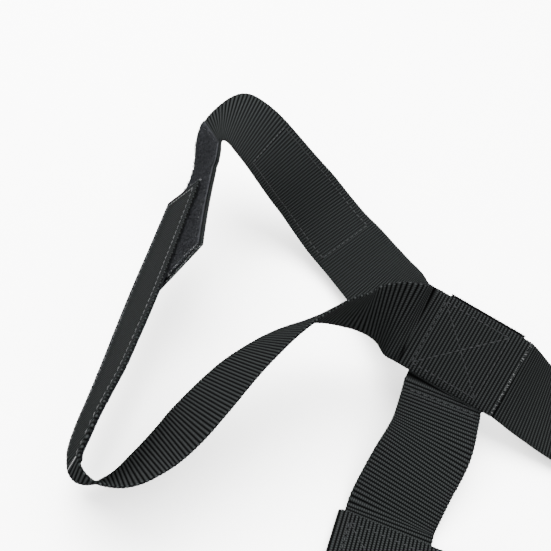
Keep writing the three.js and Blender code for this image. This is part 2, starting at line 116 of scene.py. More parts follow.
# Frames of a route at any distances along it
def framesAt(route, distances):
    distances = np.asarray(distances, dtype=float)
    run = route["run"]
    i = np.clip(np.searchsorted(run, distances, side="right") - 1, 0, len(run) - 2)
    h = (run[i + 1] - run[i])[:, None]
    k = (distances - run[i])[:, None] / h
    kc = np.clip(k, -3, 4)
    mixed = {}
    for key in ("c", "w"):
        v = route[key]
        slope = np.gradient(v, run, axis=0)
        a, b, m, n = v[i], v[i + 1], slope[i] * h, slope[i + 1] * h
        mixed[key] = a + m * kc + (3 * (b - a) - 2 * m - n) * kc ** 2 + (2 * (a - b) + m + n) * kc ** 3
        straight = (k < 0) | (k > 1)
        mixed[key] = np.where(straight, np.where(k < 0, a + m * k, b + n * (k - 1)), mixed[key])
    t = unit(framesSlope(route, distances))
    w = unit(mixed["w"])
    if route["square"]:
        w = unit(w - t * (w * t).sum(1, keepdims=True))
    return {"c": mixed["c"], "w": w, "t": t, "n": unit(np.cross(t, w))}


def framesSlope(route, distances):
    run, t = route["run"], route["t"]
    return np.stack([np.interp(distances, run, t[:, k]) for k in range(3)], axis=1)


def patchStation(along, up, layersDown, widthDirection):
    p = junction + patchAlong * along + patchUp * up - patchOut * layersDown * layer
    return [*p, *widthDirection]


def near(x, y, z, *w):
    return [junction[0] + x, junction[1] + y, junction[2] + z, *w]


# Under-arm strap: flat on the junction, twisting off it, round the lower bend and up to its hook end
patchHalf, patchInner = vest["patchHalf"], vest["patchInner"]
cutAt = half + vest["underarmPast"]
underarmRoute = routeThrough(
    [patchStation(a, 0, 0, patchUp) for a in (cutAt, 13, 0, -13, -patchHalf, -patchHalf - 2)] + [
        near(-37, -2.6, 10.6, 0.18, 0.52, 0.84),
        near(-48, -3, 11, 0.20, 0.15, 0.97),
        near(-61, -6, 10, 0.22, -0.10, 0.97),
        near(-74, -13, 11, 0.28, -0.22, 0.93),
        near(-86, -24, 11, 0.36, -0.31, 0.88),
        near(-97, -38, 9, 0.42, -0.37, 0.83),
        near(-106, -53, 6, 0.49, -0.39, 0.78),
        near(-114, -69, 2, 0.55, -0.41, 0.73),
        near(-121, -87, -3, 0.59, -0.43, 0.69),
        near(-127, -103, -8, 0.59, -0.45, 0.67),
        near(-134, -119, -14, 0.54, -0.45, 0.71),
        near(-142, -133, -17, 0.47, -0.40, 0.79),
        near(-150, -142, -18, 0.38, -0.32, 0.87),
        near(-158, -147, -17, 0.31, -0.24, 0.92),
        near(-165, -147, -15, 0.29, -0.17, 0.94),
        near(-170, -143, -13, 0.32, -0.13, 0.94),
        near(-173, -133, -11, 0.39, -0.06, 0.92),
        near(-176, -116, -11, 0.43, 0.02, 0.90),
        near(-178, -98, -11, 0.46, 0.07, 0.88),
        near(-181, -76, -10, 0.48, 0.09, 0.87),
        near(-185, -50, -9, 0.51, 0.08, 0.86),
        near(-190, -20, -8, 0.52, 0.04, 0.85),
        near(-194, 11, -3, 0.52, -0.04, 0.85),
        near(-197, 40, 5, 0.52, -0.14, 0.84),
    ], 3)
underarmLength = underarmRoute["run"][-1]
hingeAt = underarmLength - vest["tabLength"]


# The shoulder tail lies along the hook end, drifting sideways
def tailStations(steps, past):
    rows = []
    for i in range(steps + 2):
        extra = past if i > steps else 0
        k = 1 + past / vest["closureLength"] if i > steps else i / steps
        f = framesAt(underarmRoute, [underarmLength - vest["closureLength"] * (1 - k) - extra])
        c, w, t, n = (f[key][0] for key in "cwtn")
        slope = (vest["closureShiftStart"] - vest["closureShiftEnd"]) / vest["closureLength"]
        drift = vest["closureShiftEnd"] + slope * vest["closureLength"] * k
        rows.append([*(c + t * extra + n * vest["closureStack"] + w * drift), *unit(t * slope - w)])
    return rows


tail = tailStations(6, 7)
floorRise = webbing["thickness"] / 2 - vest["junctionHeight"]
shoulderRoute = routeThrough(
    tail + [
        near(-189, 58, 14, -0.46, 0.39, -0.80),
        near(-193.5, 69.5, 17, -0.55, 0.53, -0.64),
        near(-197, 80, 20.5, -0.60, 0.67, -0.44),
        near(-198, 89, 22, -0.54, 0.78, -0.31),
        near(-196.5, 97, 23.5, -0.42, 0.89, -0.18),
        near(-193, 102, 26.5, -0.26, 0.97, 0.01),
        near(-186, 103, 29, -0.11, 0.98, 0.15),
        near(-176, 99.5, 27.5, 0.02, 0.98, 0.19),
        near(-165, 97, 23, 0.15, 0.97, 0.20),
        near(-155, 95, 16.5, 0.28, 0.95, 0.15),
        near(-140.5, 93.5, 4, 0.38, 0.90, 0.20),
        near(-126, 93.5, -8.5, 0.47, 0.84, 0.28),
        near(-111, 89.5, -19, 0.53, 0.77, 0.35),
        near(-96, 81.5, -24.5, 0.55, 0.72, 0.42),
        near(-81, 72, -26, 0.53, 0.69, 0.49),
        near(-67, 61, -26, 0.50, 0.71, 0.50),
        near(-54, 48, -23, 0.45, 0.72, 0.53),
        near(-43, 34, -17, 0.38, 0.73, 0.57),
        near(-35, 17, -8, 0.26, 0.75, 0.61),
    ] + [patchStation(a, 0, 2, patchUp)
         for a in (-patchHalf, 2 - patchHalf, -13, 0, 13, patchInner - 2, patchInner)] + [
        near(53, 1, -21, 0.10, 0.89, 0.45),
        near(69, 1, -30, 0.05, 0.95, 0.30),
        near(85, 1, -38, 0.02, 0.99, 0.15),
        near(102, 1, floorRise + 2.4, 0, 1, 0.03),
        near(112, 1, floorRise + 0.3, 0, 1, 0),
    ] + [[-x, vest["junctionY"] + 1, webbing["thickness"] / 2, 0, 1, 0]
         for x in (30, 20, 10, 0)], 6, square=False)


# Eases the shoulder fold, then joins the mirrored half on at the middle of the yoke
def eased(route, first, last, rounds):
    c, w = route["c"].copy(), route["w"].copy()
    inner = slice(first, last + 1)
    for _ in range(rounds):
        for v in (c, w):
            old = v.copy()
            v[inner] = (2 * old[inner] + old[first - 1:last] + old[first + 1:last + 2]) / 4
    return finishRoute(c, w, square=False)


foldStart = 6 * len(tail) - 8
shoulderRoute = eased(shoulderRoute, foldStart, foldStart + 70, 20)


def onSurface(route):
    lowest = np.abs(route["w"][:, 2]) * half + np.abs(route["n"][:, 2]) * webbing["thickness"] / 2
    c = route["c"].copy()
    c[:, 2] = np.maximum(c[:, 2], lowest)
    return finishRoute(c, route["w"], route["square"])


mirrorX = np.array([-1.0, 1, 1])
yokeRoute = onSurface(finishRoute(
    np.vstack([shoulderRoute["c"], (shoulderRoute["c"] * mirrorX)[-2::-1]]),
    np.vstack([shoulderRoute["w"], (shoulderRoute["w"] * mirrorX)[-2::-1]]), square=False))

downRise = webbing["thickness"] / 2 + layer - vest["junctionHeight"]
drop = vest["beltDrop"]
shift, lean = vest["downStrapShift"], vest["downStrapLean"]
downRoute = routeThrough(
    [patchStation(shift, up, 1, patchAlong)
     for up in (half + vest["downStrapProud"], 12, 0, -12, -half - 0.5, -half - 2)] + [
        near(shift - 4.4, -31, -22.4, 0.98, -0.06, -0.17),
        near(shift - 4.5, -48, -27.6, 0.98, -0.14, -0.12),
        near(shift - 9, -68, -34.5, 0.98, -0.15, -0.07),
        near(1.5 - lean, -81, -40, 0.99, -0.08, -0.03),
        near(-lean, -drop + half + 8, downRise + 1.2, 1, 0, 0),
        near(-lean, -drop + half + 2, downRise + 0.1, 1, 0, 0),
        near(-lean, -drop + half - 4, downRise, 1, 0, 0),
        near(-lean, -drop, downRise, 1, 0, 0),
        near(-lean, -(drop + half - vest["downStrapInset"]), downRise, 1, 0, 0),
    ], 3)

# Waist belt: round the socket's bar, out to one side, over the back and round the plug's bar
belt = {"lowRun": 0.75, "backRun": 4.35, "rise": 18, "foldOver": 3.4, "loopTail": 34,
        "socketBarX": -48.8, "plugBarX": 21.2, "buckleMid": 5.5, "barDepth": 3.6, "gap": 0.3}
beltY = vest["junctionY"] - drop
barWrap = belt["barDepth"] / 2 * math.sqrt(2) + belt["gap"] + webbing["thickness"] / 2
foldRadius = (belt["backRun"] - belt["lowRun"]) / 2
foldX = vest["junctionSpacing"] / 2 + lean + half + belt["foldOver"] - foldRadius - webbing["thickness"] / 2


def barLoop(barX, outward):
    low, mid = belt["lowRun"], belt["buckleMid"]
    tailX = barX + outward * (belt["loopTail"] + 4)
    points = [(tailX, low + layer), (tailX - outward * 12, low + layer),
              (barX + outward * 14, low + layer + 0.8), (barX + outward * 6, mid + barWrap - 0.3)]
    for degrees in (90, 45, 0, -45, -90):
        a = math.radians(degrees)
        points.append((barX - outward * barWrap * math.cos(a), mid + barWrap * math.sin(a)))
    return points + [(barX + outward * 6, mid - barWrap), (barX + outward * 15, low + 0.3),
                     (barX + outward * 24, low), (barX + outward * 34, low)]


def foldArc(side):
    return [(side * (foldX + foldRadius * math.cos(math.radians(d))),
             belt["lowRun"] + foldRadius + foldRadius * math.sin(math.radians(d)))
            for d in (90, 45, 0, -45, -90)]


innerEdge = vest["junctionSpacing"] / 2 - half
outerX = vest["junctionSpacing"] / 2
backZ, lowZ, riseZ = belt["backRun"], belt["lowRun"], belt["rise"]
overHalf = [(30, riseZ + 0.6), (58, riseZ), (76, riseZ - 2.2), (innerEdge - 18, backZ + 2.6),
            (innerEdge + 4, backZ), (outerX, backZ), (foldX - 3, backZ)]
beltProfile = (barLoop(belt["socketBarX"], -1)
               + [(-innerEdge, lowZ), (-outerX, lowZ), (-foldX + 3, lowZ)] + foldArc(-1)[::-1]
               + [(-x, z) for x, z in overHalf[::-1]] + [(0, riseZ + 0.8)] + overHalf + foldArc(1)
               + [(foldX - 3, lowZ), (outerX, lowZ), (innerEdge, lowZ)] + barLoop(belt["plugBarX"], 1)[::-1])
beltRoute = onSurface(routeThrough([[x, beltY, z, 0, 1, 0] for x, z in beltProfile], 2))
print("routes laid out")


# Makes a selected object's mesh from a grid, wrapped round a flat section along a route
def selectOnly(piece):
    bpy.ops.object.select_all(action="DESELECT")
    piece.select_set(True)
    bpy.context.view_layer.objects.active = piece


def section(width, thickness, columns):
    edge = thickness / 2
    flat = np.linspace(-width / 2 + edge * 0.8, width / 2 - edge * 0.8, columns + 1)
    top = [(a, edge, 1.0) for a in flat]
    right = [(width / 2 - edge * 0.2, edge * 0.6, 0.5), (width / 2, 0, 0.0),
             (width / 2 - edge * 0.2, -edge * 0.6, -0.5)]
    bottom = [(a, -edge, -1.0) for a in flat[::-1]]
    left = [(-a, -b, -c) for a, b, c in right]
    return np.array(top + right + bottom + left + top[:1])


def layBand(name, route, start, stop, width, thickness, offset=0.0, ribbed=True, rowLength=None, seed=1):
    rowLength = rowLength or webbing["ribPitch"] / webbing["rowsPerRib"]
    columns = webbing["columns"]
    rows = max(2, round((stop - start) / rowLength))
    ring = section(width, thickness, columns)
    bpy.ops.object.select_all(action="DESELECT")
    bpy.ops.mesh.primitive_grid_add(x_subdivisions=rows, y_subdivisions=len(ring) - 1, size=2, calc_uvs=True)
    piece = bpy.context.active_object
    piece.name = name
    piece.data.name = name
    mesh = piece.data
    co = np.empty(len(mesh.vertices) * 3)
    mesh.vertices.foreach_get("co", co)
    co = co.reshape(-1, 3)
    i = np.rint((co[:, 0] + 1) / 2 * rows).astype(int)
    j = np.rint((co[:, 1] + 1) / 2 * (len(ring) - 1)).astype(int)
    distance = np.linspace(start, stop, rows + 1)
    f = framesAt(route, distance)
    rng = np.random.default_rng(seed)
    phase = distance / webbing["ribPitch"]
    ribs = int(phase.max()) + 3
    height = 1 + webbing["unevenness"] * rng.standard_normal((ribs, len(ring)))
    height[:, -1] = height[:, 0]
    wave = 0.5 + 0.5 * np.cos(2 * np.pi * phase)
    across = ring[j, 0].copy()
    along = ring[j, 1].copy()
    if ribbed:
        lift = wave[i] * np.clip(height[np.rint(phase[i]).astype(int), j % (len(ring) - 1)], 0.3, 1.8)
        along += ring[j, 2] * (lift - 0.5) * webbing["ribHeight"]
        atEdge = np.clip((np.abs(ring[j, 0]) - width / 2 + 1.2) / 1.2, 0, 1)
        across += np.sign(across) * atEdge * (lift - 0.6) * webbing["scallop"]
    else:
        along += ring[j, 2] * 0.05 * rng.standard_normal(len(i)) * (j % (len(ring) - 1) > 0)
    placed = f["c"][i] + f["w"][i] * across[:, None] + f["n"][i] * (along + offset)[:, None]
    mesh.vertices.foreach_set("co", (placed / 1000).ravel())
    loops = np.empty(len(mesh.loops), dtype=np.int32)
    mesh.loops.foreach_get("vertex_index", loops)
    flatUv = np.stack([distance[i][loops], ring[j, 0][loops]], axis=1)
    mesh.uv_layers[0].name = "strapMillimetres"
    mesh.uv_layers[0].data.foreach_set("uv", flatUv.ravel())
    mesh.update()
    selectOnly(piece)
    bpy.ops.object.mode_set(mode="EDIT")
    bpy.ops.mesh.select_all(action="SELECT")
    bpy.ops.mesh.remove_doubles(threshold=0.000002)
    bpy.ops.mesh.select_all(action="DESELECT")
    bpy.ops.mesh.select_mode(type="EDGE")
    bpy.ops.mesh.select_non_manifold(extend=False)
    bpy.ops.mesh.fill_holes(sides=0)
    bpy.ops.mesh.select_all(action="SELECT")
    bpy.ops.mesh.normals_make_consistent(inside=False)
    bpy.ops.object.mode_set(mode="OBJECT")
    bpy.ops.object.shade_smooth_by_angle(angle=math.radians(62))
    return piece


# A mirrored copy on the wearer's other side, with its own mesh
def mirroredCopy(piece, name):
    selectOnly(piece)
    bpy.ops.object.duplicate(linked=False)
    copy = bpy.context.active_object
    copy.name = name
    copy.data.name = name
    co = np.empty(len(copy.data.vertices) * 3)
    copy.data.vertices.foreach_get("co", co)
    co[0::3] *= -1
    copy.data.vertices.foreach_set("co", co)
    copy.data.flip_normals()
    copy.data.update()
    return copy


# Repeats one small shape: places are (position, x axis, y axis, z axis) in millimetres
def repeated(name, base, places):
    selectOnly(base)
    co = np.empty(len(base.data.vertices) * 3)
    base.data.vertices.foreach_get("co", co)
    co = co.reshape(-1, 3)
    faces = [tuple(p.vertices) for p in base.data.polygons]
    allCo, allFaces = [], []
    for k, (p, x, y, z) in enumerate(places):
        allCo.append((p + co[:, :1] * x + co[:, 1:2] * y + co[:, 2:] * z) / 1000)
        allFaces += [tuple(v + k * len(co) for v in face) for face in faces]
    mesh = bpy.data.meshes.new(name)
    mesh.from_pydata(np.vstack(allCo).tolist(), [], allFaces)
    piece = bpy.data.objects.new(name, mesh)
    bpy.context.scene.collection.objects.link(piece)
    selectOnly(piece)
    bpy.ops.object.shade_smooth()
    return piece


# One stitch of thread, one loop of pile and one loose fibre, modelled once
def threadShape():
    bpy.ops.object.select_all(action="DESELECT")
    bpy.ops.mesh.primitive_uv_sphere_add(segments=6, ring_count=5, radius=1, rotation=(0, math.pi / 2, 0))
    stitch = bpy.context.active_object
    bpy.ops.object.transform_apply(location=True, rotation=True, scale=True)
    for v in stitch.data.vertices:
        v.co.z = v.co.z * thread["radius"] - 0.35 * thread["radius"] * (v.co.x ** 2)
        v.co.y *= thread["radius"] * 1.1
        v.co.x *= thread["length"] / 2
    stitch.name = "threadShape"
    return stitch


def fibreShape(name, path, radius):
    bpy.ops.object.select_all(action="DESELECT")
    bpy.ops.mesh.primitive_grid_add(x_subdivisions=len(path) - 1, y_subdivisions=3, size=2)
    fibre = bpy.context.active_object
    path = np.array(path, dtype=float)
    slope = unit(np.gradient(path, axis=0))
    side = np.array([0.0, 1, 0])
    for v in fibre.data.vertices:
        i = round((v.co.x + 1) / 2 * (len(path) - 1))
        a = round((v.co.y + 1) / 2 * 3) * 2 * math.pi / 3
        up = unit(np.cross(slope[i], side))
        v.co = path[i] + radius[i] * (math.cos(a) * side + math.sin(a) * up)
    selectOnly(fibre)
    bpy.ops.object.mode_set(mode="EDIT")
    bpy.ops.mesh.select_all(action="SELECT")
    bpy.ops.mesh.remove_doubles(threshold=0.0005)
    bpy.ops.mesh.select_all(action="DESELECT")
    bpy.ops.mesh.select_mode(type="EDGE")
    bpy.ops.mesh.select_non_manifold(extend=False)
    bpy.ops.mesh.fill_holes(sides=0)
    bpy.ops.mesh.select_all(action="SELECT")
    bpy.ops.mesh.normals_make_consistent(inside=False)
    bpy.ops.object.mode_set(mode="OBJECT")
    fibre.name = name
    return fibre


stitchShape = threadShape()
pileShape = fibreShape("pileShape", [(-0.5, 0, 0), (-0.42, 0, 0.7), (0, 0, 1), (0.42, 0, 0.7), (0.5, 0, 0)],
                       [loopTape["pileThread"]] * 5)
looseShape = fibreShape("looseShape", [(0, 0, 0), (0.5, 0, 0.12), (1, 0, 0)], [0.07, 0.06, 0.02])


# Stitches along corners given as (distance, across) on one face of a route
def stitchLine(route, corners, face, rise=0.0):
    places = []
    for a, b in zip(corners[:-1], corners[1:]):
        a, b = np.array(a, dtype=float), np.array(b, dtype=float)
        count = max(1, round(np.linalg.norm(b - a) / thread["pitch"]))
        middles = a + (b - a) * ((np.arange(count) + 0.5) / count)[:, None]
        ahead = (b - a) / np.linalg.norm(b - a)
        f = framesAt(route, middles[:, 0])
        x = unit(f["t"] * ahead[0] + f["w"] * ahead[1])
        z = f["n"] * face
        p = f["c"] + f["w"] * middles[:, 1:] + z * (webbing["thickness"] / 2 + 0.1 + rise)
        places += list(zip(p, x, np.cross(z, x), z))
    return places


def boxCross(route, s0, s1, v0, v1, face, rise=0.0):
    lines = [[(s0, v0), (s1, v0), (s1, v1), (s0, v1), (s0, v0)], [(s0, v0), (s1, v1)], [(s0, v1), (s1, v0)]]
    return [p for line in lines for p in stitchLine(route, line, face, rise)]


# Loose yarn at a cut end: how many, how long, and how far they lean
def frayed(route, at, heading, count, length, seed, width=None, offset=0.0):
    rng = np.random.default_rng(seed)
    width = width or webbing["width"]
    f = framesAt(route, [at])
    c, w, t, n = (f[k][0] for k in "cwtn")
    places = []
    for _ in range(count):
        reach = length * (0.35 + rng.random() ** 2)
        x = unit(t * heading + w * rng.normal(0, 0.35) + n * rng.normal(0, 0.35))
        y = unit(np.cross(n, x))
        p = c + w * (rng.random() - 0.5) * width + n * ((rng.random() - 0.5) * 1.3 + offset)
        p = p - t * heading * 0.2
        places.append((p, x * reach, y * 1.0, np.cross(x, y) * 1.0))
    return places


# Looped pile over a tape's face
def piled(route, start, stop, face, offset, seed, v0=None, v1=None):
    rng = np.random.default_rng(seed)
    v0 = -loopTape["width"] / 2 + 0.7 if v0 is None else v0
    v1 = loopTape["width"] / 2 - 0.7 if v1 is None else v1
    count = int((stop - start) * (v1 - v0) * loopTape["pilePerSquare"])
    s = start + rng.random(count) * (stop - start)
    v = v0 + rng.random(count) * (v1 - v0)
    f = framesAt(route, s)
    places = []
    for k in range(count):
        t, w, n = f["t"][k], f["w"][k], f["n"][k] * face
        turn = rng.random() * 2 * math.pi
        x = t * math.cos(turn) + w * math.sin(turn)
        z = unit(n + 0.45 * (t * rng.normal() + w * rng.normal()))
        x = unit(x - z * x.dot(z))
        p = f["c"][k] + w * v[k] + n * offset
        places.append((p, x * loopTape["pileWidth"] * (0.6 + 0.6 * rng.random()), np.cross(z, x),
                       z * loopTape["pileHeight"] * (0.5 + 0.7 * rng.random())))
    return places


seam = hingeAt - 12     # where the strap's moving end starts, on a rib
seam = round(seam / webbing["ribPitch"]) * webbing["ribPitch"]
w0, t0 = webbing["width"], webbing["thickness"]
pieces = {}
pieces["underarm_webbing_left"] = layBand("underarm_webbing_left", underarmRoute, 0, seam, w0, t0, seed=3)
pieces["hook_end_webbing_left"] = layBand("hook_end_webbing_left", underarmRoute, seam, underarmLength,
                                          w0, t0, seed=4)
tapeFrom = underarmLength - hookTape["length"]
pieces["hook_tape_left"] = layBand("hook_tape_left", underarmRoute, tapeFrom, seam, hookTape["width"],
                                   hookTape["thickness"], hookTape["offset"], ribbed=False,
                                   rowLength=1.2, seed=5)
pieces["hook_end_tape_left"] = layBand("hook_end_tape_left", underarmRoute, seam, underarmLength - 2,
                                       hookTape["width"], hookTape["thickness"], hookTape["offset"],
                                       ribbed=False, rowLength=1.2, seed=6)
pieces["loop_tape_left"] = layBand("loop_tape_left", yokeRoute, loopTape["start"], loopTape["end"],
                                   loopTape["width"], loopTape["thickness"], loopTape["offset"],
                                   ribbed=False, rowLength=1.0, seed=7)
pieces["back_loop_tape_left"] = layBand("back_loop_tape_left", yokeRoute, loopTape["backStart"],
                                        loopTape["backEnd"], loopTape["width"], loopTape["thickness"],
                                        -loopTape["offset"], ribbed=False, rowLength=1.0, seed=17)
pieces["down_webbing_left"] = layBand("down_webbing_left", downRoute, 0, downRoute["run"][-1], w0, t0, seed=8)
yoke = layBand("shoulder_yoke_strap", yokeRoute, 0, yokeRoute["run"][-1], w0, t0, seed=9)
beltPiece = layBand("waist_belt_webbing", beltRoute, 0, beltRoute["run"][-1], w0, t0, seed=10)
print("webbing and tapes laid")

# Stitching on the fixed straps, and on the hook end apart, because it moves
tapeEdge = 19.5
fixedStitches = boxCross(underarmRoute, cutAt - 21.5, cutAt + 21.5, -20.5, 20.5, -1)
hookEnd = underarmLength - 4
fixedStitches += stitchLine(underarmRoute, [(seam, tapeEdge), (tapeFrom + 3, tapeEdge),
                                            (tapeFrom + 3, -tapeEdge), (seam, -tapeEdge)], -1)
movingStitches = stitchLine(underarmRoute, [(seam, tapeEdge), (hookEnd, tapeEdge), (hookEnd, -tapeEdge),
                                            (seam, -tapeEdge)], -1)
loopEnd = loopTape["end"] - 3
loopBox = [(5, -tapeEdge), (5, tapeEdge), (loopEnd, tapeEdge), (loopEnd, -tapeEdge), (5, -tapeEdge)]
fixedStitches += stitchLine(yokeRoute, loopBox, -1)
fixedStitches += stitchLine(yokeRoute, loopBox, 1, loopTape["offset"] - 0.2)
backFrom, backTo = loopTape["backStart"] + 3, loopTape["backEnd"] - 3
backBox = [(backFrom, -tapeEdge), (backFrom, tapeEdge), (backTo, tapeEdge), (backTo, -tapeEdge),
           (backFrom, -tapeEdge)]
fixedStitches += stitchLine(yokeRoute, backBox, 1)
fixedStitches += stitchLine(yokeRoute, backBox, -1, loopTape["offset"] - 0.2)
downFlat = half + vest["downStrapProud"]
for at in (4.5, 7.5, 10.5):
    fixedStitches += stitchLine(downRoute, [(downFlat + half + at, -21), (downFlat + half + at, 21)], 1)


# Distance along the belt to a place on its back run
def beltDistance(x):
    onBack = (beltRoute["n"][:, 2] > 0.9) & (np.abs(beltRoute["run"] - beltRoute["run"][-1] / 2) < 260)
    return float(np.interp(x, beltRoute["c"][onBack, 0], beltRoute["run"][onBack]))


s0, s1 = beltDistance(-outerX - lean - half + 4), beltDistance(-outerX - lean + half - 4)
fixedStitches += boxCross(beltRoute, s0, s1, -19.5, 19.5, 1)
pieces["stitching_left"] = repeated("stitching_left", stitchShape, fixedStitches)
pieces["hook_end_stitching_left"] = repeated("hook_end_stitching_left", stitchShape, movingStitches)

# Loose yarn and pile
frays = frayed(underarmRoute, 0, -1, 150, 1.7, 21) + frayed(yokeRoute, 0, -1, 90, 1.5, 22)
frays += frayed(downRoute, 0, -1, 110, 1.5, 23) + frayed(yokeRoute, 2, -1, 60, 1.5, 24, 46, 1.6)
pieces["loose_yarn_left"] = repeated("loose_yarn_left", looseShape, frays)
pieces["hook_end_yarn_left"] = repeated("hook_end_yarn_left", looseShape,
                                        frayed(underarmRoute, underarmLength, 1, 90, 1.4, 25))
pieces["loop_pile_left"] = repeated("loop_pile_left", pileShape,
                                    piled(yokeRoute, 3, loopTape["end"] - 1, 1, 2.1, 26))
for shape in (stitchShape, pileShape, looseShape):
    bpy.data.objects.remove(shape, do_unlink=True)
print("stitches, yarn and pile made")


# sRGB hex to linear
def linear(hexColour):
    parts = [int(hexColour[k:k + 2], 16) / 255 for k in (1, 3, 5)]
    return (*[v / 12.92 if v <= 0.04045 else ((v + 0.055) / 1.055) ** 2.4 for v in parts], 1)


# Adds a node, sets its settings and inputs, and links what is a socket
def addNode(material, kind, settings=None, **inputs):
    node = material.node_tree.nodes.new(kind)
    for key, value in (settings or {}).items():
        setattr(node, key, value)
    for key, value in inputs.items():
        numbered = key[0] == "i" and key[1:].isdigit()
        socket = node.inputs[int(key[1:]) if numbered else key.replace("_", " ")]
        if isinstance(value, bpy.types.NodeSocket):
            material.node_tree.links.new(value, socket)
        else:
            socket.default_value = value
    return node


def newMaterial(name, **inputs):
    material = bpy.data.materials.new(name)
    material.use_nodes = True
    shader = material.node_tree.nodes["Principled BSDF"]
    for key, value in inputs.items():
        shader.inputs[key.replace("_", " ")].default_value = value
    return material, shader


def link(material, a, b):
    material.node_tree.links.new(a, b)


# Webbing colours: painted shade for the grooves, a painted highlight for the crests and painted glints for
# the crest tops
webbingLook = {"grooveShade": "#010101", "crest": "#0c0d0d", "crestGlint": "#262828",
               "yarnPitch": 1.25, "roughness": 0.55,
               "gloss": 0.0}    # off, or faces seen at a low angle turn grey


# Polypropylene webbing: black yarns woven into weft ribs; its colour carries a painted highlight on the
# crests, painted shade in the grooves and painted glints on the crest tops
def wovenWebbing():
    m, shader = newMaterial("polypropylene_webbing", Roughness=webbingLook["roughness"], IOR=1.49,
                            Specular_IOR_Level=webbingLook["gloss"])
    uv = addNode(m, "ShaderNodeUVMap", {"uv_map": "strapMillimetres"})
    xyz = addNode(m, "ShaderNodeSeparateXYZ", i0=uv.outputs[0])
    rib = addNode(m, "ShaderNodeMath", {"operation": "DIVIDE"}, i0=xyz.outputs[0], i1=webbing["ribPitch"])
    angle = addNode(m, "ShaderNodeMath", {"operation": "MULTIPLY"}, i0=rib.outputs[0], i1=2 * math.pi)
    crest = addNode(m, "ShaderNodeMath", {"operation": "COSINE"}, i0=angle.outputs[0])
    half01 = addNode(m, "ShaderNodeMath", {"operation": "MULTIPLY_ADD"},
                     i0=crest.outputs[0], i1=0.5, i2=0.5)
    ribIndex = addNode(m, "ShaderNodeMath", {"operation": "ROUND"}, i0=rib.outputs[0])
    shiftHalf = addNode(m, "ShaderNodeMath", {"operation": "MULTIPLY"}, i0=ribIndex.outputs[0], i1=0.5)
    yarn = addNode(m, "ShaderNodeMath", {"operation": "DIVIDE"},
                   i0=xyz.outputs[1], i1=webbingLook["yarnPitch"])
    yarnPlace = addNode(m, "ShaderNodeMath", {"operation": "ADD"},
                        i0=yarn.outputs[0], i1=shiftHalf.outputs[0])
    yarnAngle = addNode(m, "ShaderNodeMath", {"operation": "MULTIPLY"},
                        i0=yarnPlace.outputs[0], i1=2 * math.pi)
    yarnWave = addNode(m, "ShaderNodeMath", {"operation": "COSINE"}, i0=yarnAngle.outputs[0])
    yarn01 = addNode(m, "ShaderNodeMath", {"operation": "MULTIPLY_ADD"},
                     i0=yarnWave.outputs[0], i1=0.5, i2=0.5)
    both = addNode(m, "ShaderNodeMath", {"operation": "MULTIPLY"},
                   i0=half01.outputs[0], i1=yarn01.outputs[0])
    fibres = addNode(m, "ShaderNodeTexNoise", {"noise_dimensions": "3D"},
                     Vector=uv.outputs[0], Scale=1.6, Detail=3.0)
    # Painted glints: the pale glint colour on the crest tops, broken up by fibre noise
    crestGlintMask = addNode(m, "ShaderNodeMath", {"operation": "MULTIPLY"},
                     i0=both.outputs[0], i1=fibres.outputs[0])
    # Painted shade in the grooves and a painted highlight on the crests, following the ribs
    tone = addNode(m, "ShaderNodeMix", {"data_type": "RGBA"}, i0=half01.outputs[0],
                   i6=linear(webbingLook["grooveShade"]), i7=linear(webbingLook["crest"]))
    colour = addNode(m, "ShaderNodeMix", {"data_type": "RGBA"}, i0=crestGlintMask.outputs[0], i6=tone.outputs[2],
                     i7=linear(webbingLook["crestGlint"]))
    link(m, colour.outputs[2], shader.inputs["Base Color"])
    height = addNode(m, "ShaderNodeMath", {"operation": "MULTIPLY_ADD"},
                     i0=fibres.outputs[0], i1=0.5, i2=both.outputs[0])
    bump = addNode(m, "ShaderNodeBump", Strength=0.55, Distance=0.00022, Height=height.outputs[0])
    link(m, bump.outputs[0], shader.inputs["Normal"])
    return m


# Nylon hook or loop tape: a matt mat of fine dark thread, with a painted sheen for light caught in its tips,
# as paler patches set at random by noise
def tapeCloth(name, dark, light, scale):
    m, shader = newMaterial(name, Roughness=0.75, IOR=1.53, Specular_IOR_Level=0.0, Sheen_Weight=0.0,
                            Sheen_Roughness=0.5)
    where = addNode(m, "ShaderNodeTexCoord")
    mat = addNode(m, "ShaderNodeTexNoise", Vector=where.outputs["Object"], Scale=scale, Detail=4.0)
    cells = addNode(m, "ShaderNodeTexVoronoi", Vector=where.outputs["Object"], Scale=scale * 0.8)
    # Painted sheen: the paler colour, mixed in at random by noise
    tone = addNode(m, "ShaderNodeMix", {"data_type": "RGBA"},
                   i0=mat.outputs[0], i6=linear(dark), i7=linear(light))
    link(m, tone.outputs[2], shader.inputs["Base Color"])
    bump = addNode(m, "ShaderNodeBump", Strength=0.7, Distance=0.0005, Height=cells.outputs[0])
    link(m, bump.outputs[0], shader.inputs["Normal"])
    return m


# Bonded polyester thread: twisted and waxy, so each stitch has one small glint
def sewingThread():
    m, shader = newMaterial("bonded_polyester_thread", Roughness=0.42, IOR=1.55, Specular_IOR_Level=0.05)
    where = addNode(m, "ShaderNodeTexCoord")
    wisp = addNode(m, "ShaderNodeTexNoise", Vector=where.outputs["Object"], Scale=2500.0, Detail=2.0)
    tone = addNode(m, "ShaderNodeMix", {"data_type": "RGBA"},
                   i0=wisp.outputs[0], i6=linear("#060707"), i7=linear("#191a1b"))
    link(m, tone.outputs[2], shader.inputs["Base Color"])
    return m


